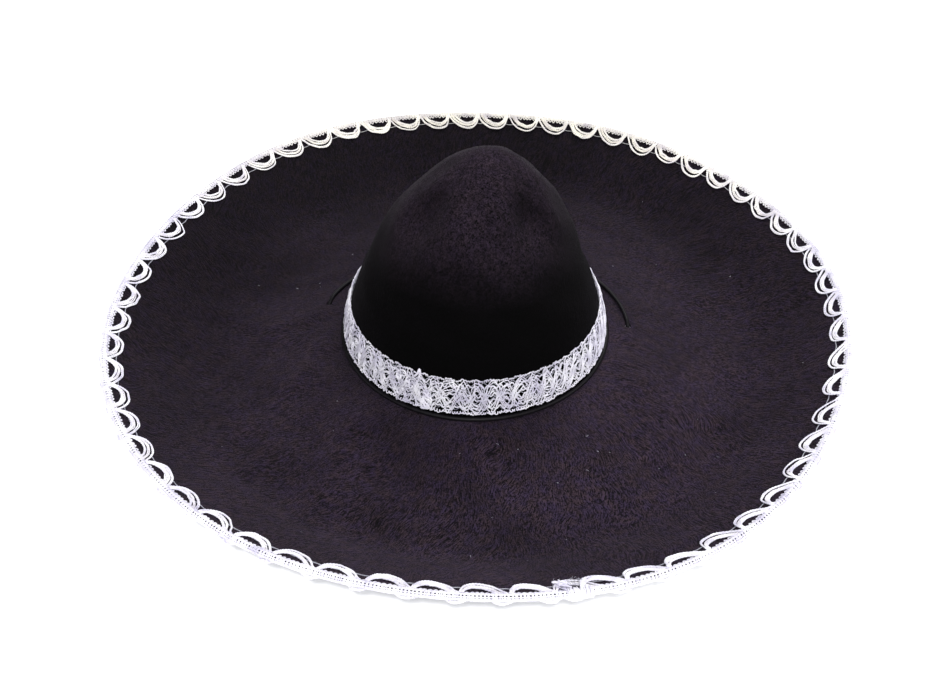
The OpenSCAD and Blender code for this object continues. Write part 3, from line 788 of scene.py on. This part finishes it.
def round_the_edge(out, off, steps, wobble=0.0, waves=0):
    """A closed line along the edge at a fixed place in its section, in metres."""
    angle = np.arange(steps) * 360 / steps
    swing = wobble * np.sin(np.radians(angle) * waves)
    return at_edge(angle, out + swing, off)


RUNGS = 12 * LOOPS
TEETH = 9 * LOOPS
CHAIN_STEPS = 2160


def make_heading():
    """The crocheted heading, folded over the felt, and the link yarn that joins the loops on top."""
    luck = np.random.RandomState(5)
    make_chains()
    make_rungs(luck)
    make_teeth(luck)
    link = Shell()
    path = round_the_edge(-8.4 * MM, FELT_T / 2 + 0.45 * MM, 1440, 0.25 * MM, 3 * LOOPS + 1)
    link.yarn(path, 0.8 * MM, UP, 3 * MM, closed=True)
    link.piece("link_yarn", GREY, replaces=["trim_link_yarn"])


def make_chains():
    """The two chains along the heading's top, and the two chains and two lines along its underside."""
    chain_d = 1.0 * MM
    for name, side in (("heading_top", 1), ("heading_under", -1)):
        shell = Shell()
        for out, off in ((-0.2, 1.85), (0.9, 1.8)):
            path = round_the_edge(out * MM, side * off * MM, CHAIN_STEPS, 0.12 * MM, RUNGS)
            shell.yarn(path, chain_d, UP, 4.7 * MM, closed=True, phase=out * 3)
        if side < 0:
            for out in (-2.4, -3.8):
                path = round_the_edge(out * MM, -1.8 * MM, CHAIN_STEPS // 2, 0.15 * MM, RUNGS)
                shell.tube(path, chain_d / 2, UP, 4, closed=True)
        shell.piece(name, SILVER, replaces=["trim_heading"] if side > 0 else ())


def make_rungs(luck):
    """Pairs of yarns over the fold, tied by three lines that run along it."""
    rungs = Shell()
    over_fold = [
        (-1.0, 1.9), (0.8, 2.1), (2.0, 1.6), (2.7, 0.6), (2.7, -0.6), (2.0, -1.6), (0.8, -2.1), (-4.0, -2.1),
    ]
    for k in range(RUNGS):
        for side in (-1, 1):
            p = smooth_path(over_fold, 2) * MM
            middle = 360 * (k + 0.5) / RUNGS + side * luck.uniform(0.36, 0.66) * MM_TO_DEGREES
            lean = np.linspace(-0.35, 0.35, len(p)) * side + 0.16 * luck.randn()
            path = at_edge(middle + lean * MM_TO_DEGREES, p[:, 0], p[:, 1])
            along = polar(middle + 90, 1.0, 0.0)
            rungs.tube(path, 0.46 * MM, along, 4)
    for out, off in ((2.4, -1.1), (2.65, -0.35), (2.4, 0.85)):
        path = round_the_edge(out * MM, off * MM, CHAIN_STEPS // 2, 0.15 * MM, RUNGS // 3 + 7)
        rungs.tube(path, 0.42 * MM, UP, 4, closed=True)
    rungs.piece("heading_rungs", SILVER)


def make_teeth(luck):
    """Small uneven bows along the heading's inner edge."""
    teeth = Shell()
    for k in range(TEETH):
        middle = 360 * (k + luck.uniform(0.35, 0.65)) / TEETH
        reach = luck.uniform(0.9, 1.6)
        bow = [
            (-1.4, -0.4, 1.8), (-1.0, -1.3, 1.8), (0, -1.1 - reach, 1.75), (1.0, -1.3, 1.8), (1.4, -0.4, 1.8),
        ]
        p = smooth_path(bow, 3) * MM
        path = at_edge(middle + p[:, 0] / MM * MM_TO_DEGREES, p[:, 1], p[:, 2])
        teeth.tube(path, 0.45 * MM, edge_normal(middle), 4)
    teeth.piece("heading_teeth", SILVER)


def make_wire():
    """The spring wire in the fold with its joining sleeve, and the stitches under the brim."""
    wire_out = 1.15 * MM
    wire = Shell()
    angle = BACK + np.linspace(0.2, 359.8, 1080)
    wire.tube(at_edge(angle, wire_out, 0.0), 0.6 * MM, UP, 8)
    wire.piece("edge_wire", STEEL, replaces=["brim_wire"])
    sleeve = Shell()
    angle = BACK + np.linspace(-2.5, 2.5, 24)
    sleeve.tube(at_edge(angle, wire_out, 0.0), 1.05 * MM, UP, 12)
    sleeve.piece("edge_wire_sleeve", STEEL, replaces=["brim_wire_sleeve"])
    stitches = Shell()
    for start in loop_starts():
        middle = start - LONG_STEP / 2
        t = np.linspace(-2.5, 2.5, 7)
        dip = 0.25 * MM * (1 - (t / 2.5) ** 2)
        path = at_edge(middle + t * MM_TO_DEGREES, -3.0 * MM, -2.75 * MM - dip)
        stitches.tube(path, 0.3 * MM, edge_normal(middle), 6)
    stitches.piece("edge_stitches", GREY, replaces=["trim_stitches"])


def near_join(p):
    """Points from millimetres along the edge from the braid's start, in from the edge, and off the felt."""
    return at_edge(BRAID_START - p[:, 0] * MM_TO_DEGREES, -p[:, 1] * MM, FELT_T / 2 + p[:, 2] * MM)


def make_join():
    """The braid's lapped ends: whipping round the heading and frayed yarn tips."""
    luck = np.random.RandomState(3)
    shell = Shell()
    around = [
        (-1.6, 2.9), (0.8, 3.0), (2.9, 2.4), (3.9, 0.9), (3.9, -0.9), (2.9, -2.4), (0.8, -3.0), (-2.5, -3.1),
    ]
    for k in range(13):
        p = smooth_path(around, 3) * MM
        middle = JOIN_ANGLE + (k - 6) * 1.15 * MM_TO_DEGREES
        lean = np.linspace(-1, 1, len(p)) * luck.uniform(-0.9, 0.9)
        path = at_edge(middle + lean * MM_TO_DEGREES, p[:, 0] + 0.2 * MM * luck.randn(), p[:, 1])
        shell.yarn(path, 1.1 * MM, polar(middle + 90, 1.0, 0.0), TWIST)
    for k in range(16):
        first = spot(luck, (9.5, 14.5), (1, 9.5), (1.4, 3.2))
        swing = spot(luck, (1.6, 3.4), (0.4, 2.4), (0.0, 1.4))
        bend = spot(luck, (0.6, 1.8), (-0.4, 1.2), (-0.6, 0.8))
        p = smooth_path([first - swing, first, first + swing * 0.6, first + swing * 0.8 + bend], 3)
        shell.yarn(near_join(p), luck.uniform(0.8, 1.2) * MM, edge_normal(BRAID_START), TWIST)
    shell.piece("join_whipping", SILVER, replaces=["trim_end_whipping"])
    fray = Shell()
    for k in range(60):
        first = spot(luck, (-2, 17), (0, 13), (1.0, 3.5))
        swing = luck.randn(3) * (1.3, 1.3, 0.8)
        p = smooth_path([first, first + swing, first + swing * 1.7 + luck.randn(3) * 0.7], 4)
        p[:, 2] = np.maximum(p[:, 2], 0.3)
        fray.tube(near_join(p), 0.11 * MM, ASKEW, 4)
    fray.piece("join_fray", GREY)


# ---- Hat band ----
BAND_LOW = CROWN_BASE + 4.4 * MM
BAND_H = 28 * MM
BAND_STEPS = 60
BAND_STEP = 360 / BAND_STEPS
WALL_TURN = math.degrees(MM / CROWN_R)

# One wave of a strand, two steps long: (share of the wave, share of its height, millimetres off the felt)
BAND_WAVE = [
    (0.00, 0.02, 2.2), (0.06, 0.10, 2.6), (0.16, 0.34, 3.0), (0.26, 0.6, 3.0), (0.36, 0.84, 2.7),
    (0.44, 0.97, 2.3), (0.52, 0.98, 2.0), (0.60, 0.86, 1.8), (0.70, 0.62, 1.7), (0.80, 0.36, 1.7),
    (0.90, 0.12, 1.8), (0.96, 0.03, 2.0),
]
# Each strand waves through STRAND_SPAN of the band's height, and starts STRAND_RISE above the one below.
STRAND_RISE = 0.078
STRAND_SPAN = 0.62


def band_point(angle, height, off):
    return on_wall(angle, BAND_LOW + height, off)


def band_waves(shell, first, waves, lift, strands, seed=8):
    """Strands that zigzag up and down the band, one above the other, for some waves from direction first."""
    closed = 2 * waves == BAND_STEPS
    luck = np.random.RandomState(seed)
    sway = luck.randn(waves, 4).clip(-1.6, 1.6)
    for strand in strands:
        points = []
        for k in range(waves):
            for place, (share, height, off) in enumerate(BAND_WAVE):
                lean, rise = sway[k, :2] if place < 5 else sway[k, 2:]
                along = share + 0.05 * lean + 0.028 * luck.randn()
                up = 0.02 + STRAND_RISE * (strand + 0.3 * rise) + STRAND_SPAN * height + 0.018 * luck.randn()
                up = min(max(up, 0.0), 1.0)
                angle = first + 2 * (k + along) * BAND_STEP
                points.append((angle, up * BAND_H, off * MM + lift + 0.2 * MM * luck.randn()))
        p = np.array(points)
        if closed:
            p = np.concatenate([p, p[:1] + (360, 0, 0)])
        p = smooth_path(p, 4)
        if closed:
            p = p[:-1]
        path = band_point(p[:, 0], p[:, 1], p[:, 2])
        outwards = polar(p[:, 0], 1.0, 0.15)
        shell.yarn(path, 0.95 * MM, outwards, 3.6 * MM, closed, sides=4)


def make_band():
    """The lace band: two sets of waves that cross, on a net and wavy cords, with picots along both edges."""
    luck = np.random.RandomState(8)
    for group, name, node in ((0, "band_waves_front", "hat_band_upper_loops"),
                              (1, "band_waves_back", "hat_band_lower_loops")):
        waves = Shell()
        band_waves(waves, LAP_ANGLE + group * BAND_STEP, BAND_STEPS // 2, 0.0, range(5), 8 + group)
        waves.piece(name, SILVER, replaces=[node])
    make_net(luck)
    make_core_cords()
    make_picots(luck)
    make_lap(luck)


def make_net(luck):
    """The fine slanting mesh against the felt. It is made of the dark grey lace: partly the net's own grey,
    partly painted shade in the gaps between the waves.
    """
    net = Shell()
    lines, rows = 90, 14
    t = np.linspace(0, 1, rows)
    for k in range(lines):
        for lean in (-1, 1):
            angle = 360 * k / lines + lean * (t - 0.5) * 16 + 0.4 * luck.randn()
            height = (0.1 + 0.8 * t) * BAND_H
            off = (0.75 + 0.3 * lean * np.sin(t * 40)) * MM
            net.tube(band_point(angle, height, off), 0.3 * MM, polar(angle, 1.0, 0.0), 4)
    net.piece("band_net", GREY, replaces=["hat_band_tape"])


def make_core_cords():
    """Wavy cords that run round the band under its waves."""
    cores = Shell()
    angle = np.arange(1440) * 360 / 1440
    for share in (0.2, 0.42, 0.56, 0.8):
        ripple = np.sin(np.radians(angle) * 83 + share * 9) + np.sin(np.radians(angle) * 131 + share * 31)
        path = band_point(angle, share * BAND_H + 0.9 * MM * ripple, 1.6 * MM)
        cores.yarn(path, 1.15 * MM, UP, 3.5 * MM, closed=True, sides=4)
    cores.piece("band_core_cords", SILVER, replaces=["hat_band_core_cords"])


def make_picots(luck):
    """Small bows of uneven size along the band's lower edge, then along its upper one."""
    picots = Shell()
    number = 5 * BAND_STEPS
    for edge in (0, 1):
        out = 1 if edge else -1
        for k in range(number):
            angle = 360 * (k + luck.uniform(0.3, 0.7)) / number
            swing = 0.8 * math.sin(math.radians(angle - LAP_ANGLE) * BAND_STEPS + (2.4 if edge else -0.6))
            root = (BAND_H / MM * edge) - out * (1.9 - 0.6 * swing)
            reach = luck.uniform(0.5, 1.9)
            wide = luck.uniform(0.6, 1.2)
            bow = [(-wide * 0.7, 0, 1.2), (-wide, out * reach * 0.6, 1.7), (0, out * reach, 2.2),
                   (wide, out * reach * 0.6, 1.8), (wide * 0.7, 0, 1.2)]
            p = smooth_path(bow, 3)
            path = band_point(angle + p[:, 0] * WALL_TURN, (root + p[:, 1]) * MM, p[:, 2] * MM)
            picots.tube(path, 0.42 * MM, polar(angle, 1.0, 0.1), 4)
    picots.piece("band_picots", SILVER)


def make_lap(luck):
    """The band's lapped end: one more wave on top, curls over the lap and beside it, and a cut tip."""
    lap = Shell()
    band_waves(lap, LAP_ANGLE - 5, 1, 1.5 * MM, range(4), 21)
    lap_curls, knot_curls = 9, 13
    for k in range(lap_curls + knot_curls):
        if k < lap_curls:
            around, up, above = LAP_ANGLE + luck.uniform(-6, 5), luck.uniform(3, 25), 3.2
        else:
            around, up, above = LAP_ANGLE + 8.5 + 1.4 * luck.randn(), luck.uniform(2, 13), 3.0
        size, phase = luck.uniform(1.6, 3.4), luck.uniform(0, 6.28)
        t = np.linspace(0, luck.uniform(3.6, 5.6), 12)
        shrink = 1 - t / 12
        angle = around + size * np.cos(t + phase) * WALL_TURN * shrink
        height = np.clip(up + size * np.sin(t + phase) * shrink, 0.5, 28.5) * MM
        off = (above + 0.9 * np.sin(t * 0.6)) * MM
        lap.tube(band_point(angle, height, off), 0.55 * MM, polar(angle, 1.0, 0.1), 6)
    tip = [(2.2, 24, 3.4), (3.6, 27, 3.6), (4.2, 30.5, 3.4), (4.6, 27.5, 3.2), (4.4, 23.5, 3.0)]
    p = smooth_path(np.array(tip) + (LAP_ANGLE, 0, 0), 4)
    lap.tube(band_point(p[:, 0], p[:, 1] * MM, p[:, 2] * MM), 0.8 * MM, polar(LAP_ANGLE, 1.0, 0.1), 6)
    lap.piece("band_lap", SILVER, replaces=["hat_band_lap"])


# ---- Inside the crown ----
LINING_OFF = 0.4 * MM
SWEATBAND_LOW = BRIM_ARCH - 0.8 * MM
SWEATBAND_H = 32 * MM
SWEATBAND_T = 1.2 * MM


def in_lining(angle, up, off):
    """A point on the inside of the crown, up from the sweatband's lower edge and off away from the felt."""
    z = SWEATBAND_LOW + up
    return polar(angle, wall_r(z) - FELT_T - LINING_OFF - off, z)


def strip(shell, first, turn, columns, low, high, off, thick, ripple=0.0):
    """A strip of lining with rounded edges, from direction first round by turn degrees."""
    angle = first + np.linspace(0, turn, columns)
    wave = ripple * (1 + np.sin(np.radians(angle) * 17) * np.sin(np.radians(angle) * 5 + 1))
    ups = [low, low + 0.3 * MM, low + 2 * MM, (low + high) / 2, high - 2 * MM, high - 0.3 * MM, high]
    near = [off + 0.4 * thick, off, off, off, off, off, off + 0.4 * thick]
    far = [off + 0.6 * thick] + [off + thick] * 5 + [off + 0.6 * thick]
    shares = [0, 0, 0.1, 0.4, 0.8, 1, 1]
    outline = list(zip(ups, near, shares)) + list(zip(ups, far, shares))[::-1]
    rows = [in_lining(angle, up, gap + wave * share) for up, gap, share in outline]
    shell.grid(np.stack(rows)[::-1], wrap_rows=True)
    cap = cap_quads(len(rows))
    for column in (0, columns - 1):
        ends = shell.count - len(rows) * columns + column + columns * np.arange(len(rows))
        shell.quads(ends[cap if column else cap[:, ::-1]], (0, 0))


def make_inside():
    """The sweatband, with its joint at the back, and the finish of the parts that keep their CAD shape."""
    band = Shell()
    strip(band, BACK + 0.3, 359.4, 360, 0.0, SWEATBAND_H, 0.0, SWEATBAND_T, 0.25 * MM)
    band.piece("sweatband_strip", SWEAT_LEATHER, replaces=["sweatband"])
    tape = Shell()
    strip(tape, BACK - 4.5, 9, 24, 1 * MM, SWEATBAND_H - 1 * MM, SWEATBAND_T + 0.55 * MM, 0.5 * MM)
    tape.piece("sweatband_tape", RIBBED, replaces=["sweatband_joint_tape"])
    kept = {"crown_seam_stitches": THREAD, "sweatband_stitches": THREAD, "hat_band_tacks": THREAD,
            "chin_slide": SLIDE_LEATHER}
    for node, material in kept.items():
        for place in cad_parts[node].material_slots:
            place.material = material


# ---- Loose fibres ----
def make_fibres():
    """Short hairs that stand off the felt, and specks of white lint caught in it."""
    luck = np.random.RandomState(17)
    hairs = Shell()
    for _ in range(900):
        angle, h = luck.uniform(-180, 180), luck.uniform(0.3, 1.0) ** 0.6
        root = crown_point(np.array([angle]), h, 0)[0]
        away = root - np.array([0, 0, CROWN_BASE + 0.3 * CROWN_H])
        away = away / np.linalg.norm(away) + 0.5 * luck.randn(3)
        reach = luck.uniform(0.8, 2.6) * MM
        p = [root, root + away * reach * 0.5, root + away * reach + 0.4 * MM * luck.randn(3)]
        hairs.tube(smooth_path(p, 2), 0.045 * MM, ASKEW, 4)
    hairs.piece("crown_hairs", FELT_CROWN)
    lint = Shell()
    for _ in range(46):
        angle, r = luck.uniform(-180, 180), luck.uniform(120, 250) * MM
        root = polar(angle, r, float(brim_top(r)) + 0.25 * MM + float(edge_wave(angle) * wave_share(r)))
        step = luck.randn(4, 3).cumsum(0) * (0.5, 0.5, 0.05) * MM * luck.uniform(0.4, 1.2)
        lint.tube(smooth_path(root + step, 3), luck.uniform(0.05, 0.14) * MM, ASKEW, 4)
    lint.piece("lint", GREY)


# ---- Camera, light, floor ----
def make_camera():
    """The photograph's viewpoint: about 40 degrees above the table, a little to the hat's right of front."""
    elevation, distance = math.radians(40.55), 894.5 * MM
    aside, aim_height = 3.2 * MM, 32 * MM
    data = bpy.data.cameras.new("camera")
    data.sensor_width = 36
    data.lens = 45.59
    camera = bpy.data.objects.new("camera", data)
    bpy.context.scene.collection.objects.link(camera)
    forward = Vector((0, math.cos(elevation), -math.sin(elevation)))
    right = Vector((1, 0, 0))
    up = right.cross(forward)
    look = Matrix((right, up, -forward)).transposed()
    for degrees, axis in ((0.596, "Y"), (-2.077, "X"), (0.593, "Z")):
        look = look @ Matrix.Rotation(math.radians(degrees), 3, axis)
    place = -forward * distance + Vector((aside, 0, aim_height))
    turn = Matrix.Rotation(math.radians(5.5), 4, "Z")
    camera.matrix_world = turn @ Matrix.Translation(place) @ look.to_4x4()
    bpy.context.scene.camera = camera


def make_area(name, place, target, size, power, color=(1, 1, 1)):
    data = bpy.data.lights.new(name, "AREA")
    data.shape, data.size, data.energy, data.color = "DISK", size, power, color
    lamp = bpy.data.objects.new(name, data)
    lamp.location = place
    lamp.rotation_mode = "QUATERNION"
    lamp.rotation_quaternion = (Vector(target) - Vector(place)).to_track_quat("-Z", "Y")
    bpy.context.scene.collection.objects.link(lamp)


def make_studio():
    world = bpy.data.worlds.new("studio")
    bpy.context.scene.world = world
    world.use_nodes = True
    background = world.node_tree.nodes["Background"]
    background.inputs["Color"].default_value = (1, 1, 1, 1)
    background.inputs["Strength"].default_value = 0.38
    middle = (0, 0, 50 * MM)
    make_area("back", (0.2, 1.1, 1.5), middle, 0.8, 26)
    make_area("front", (0.1, -1.3, 1.74), middle, 0.2, 31)
    make_area("low", (0.1, -1.7, 0.55), middle, 0.5, 8)
    make_area("left", (-1.7, -0.4, 0.8), middle, 0.8, 3)
    make_area("right", (1.6, -0.2, 0.9), middle, 0.7, 12)
    floor = Shell()
    ends = (-6.0, 6.0)
    floor.grid(np.array([[(x, y, 0.0) for x in ends] for y in ends]))
    n = Nodes("floor_white", Roughness=0.9, Specular_IOR_Level=0.1)
    grain = n.noise(n.place(), 40.0, 2.0)
    n.shader.inputs["Emission Color"].default_value = (0.93, 0.95, 1, 1)
    n.shader.inputs["Emission Strength"].default_value = 0.44
    material = n.finish(n.mix(grain, (0.9, 0.9, 0.9), (0.92, 0.92, 0.92)))
    floor.piece("floor", material, body=None)
    view = bpy.context.scene.view_settings
    view.view_transform = "Standard"
    view.look = "None"


make_camera()
make_studio()
make_cords()
make_brim()
make_crown()
loop_luck = np.random.RandomState(11)
make_top_loops(loop_luck)
make_under_loops(loop_luck)
make_heading()
make_wire()
make_join()
make_band()
make_inside()
make_fibres()
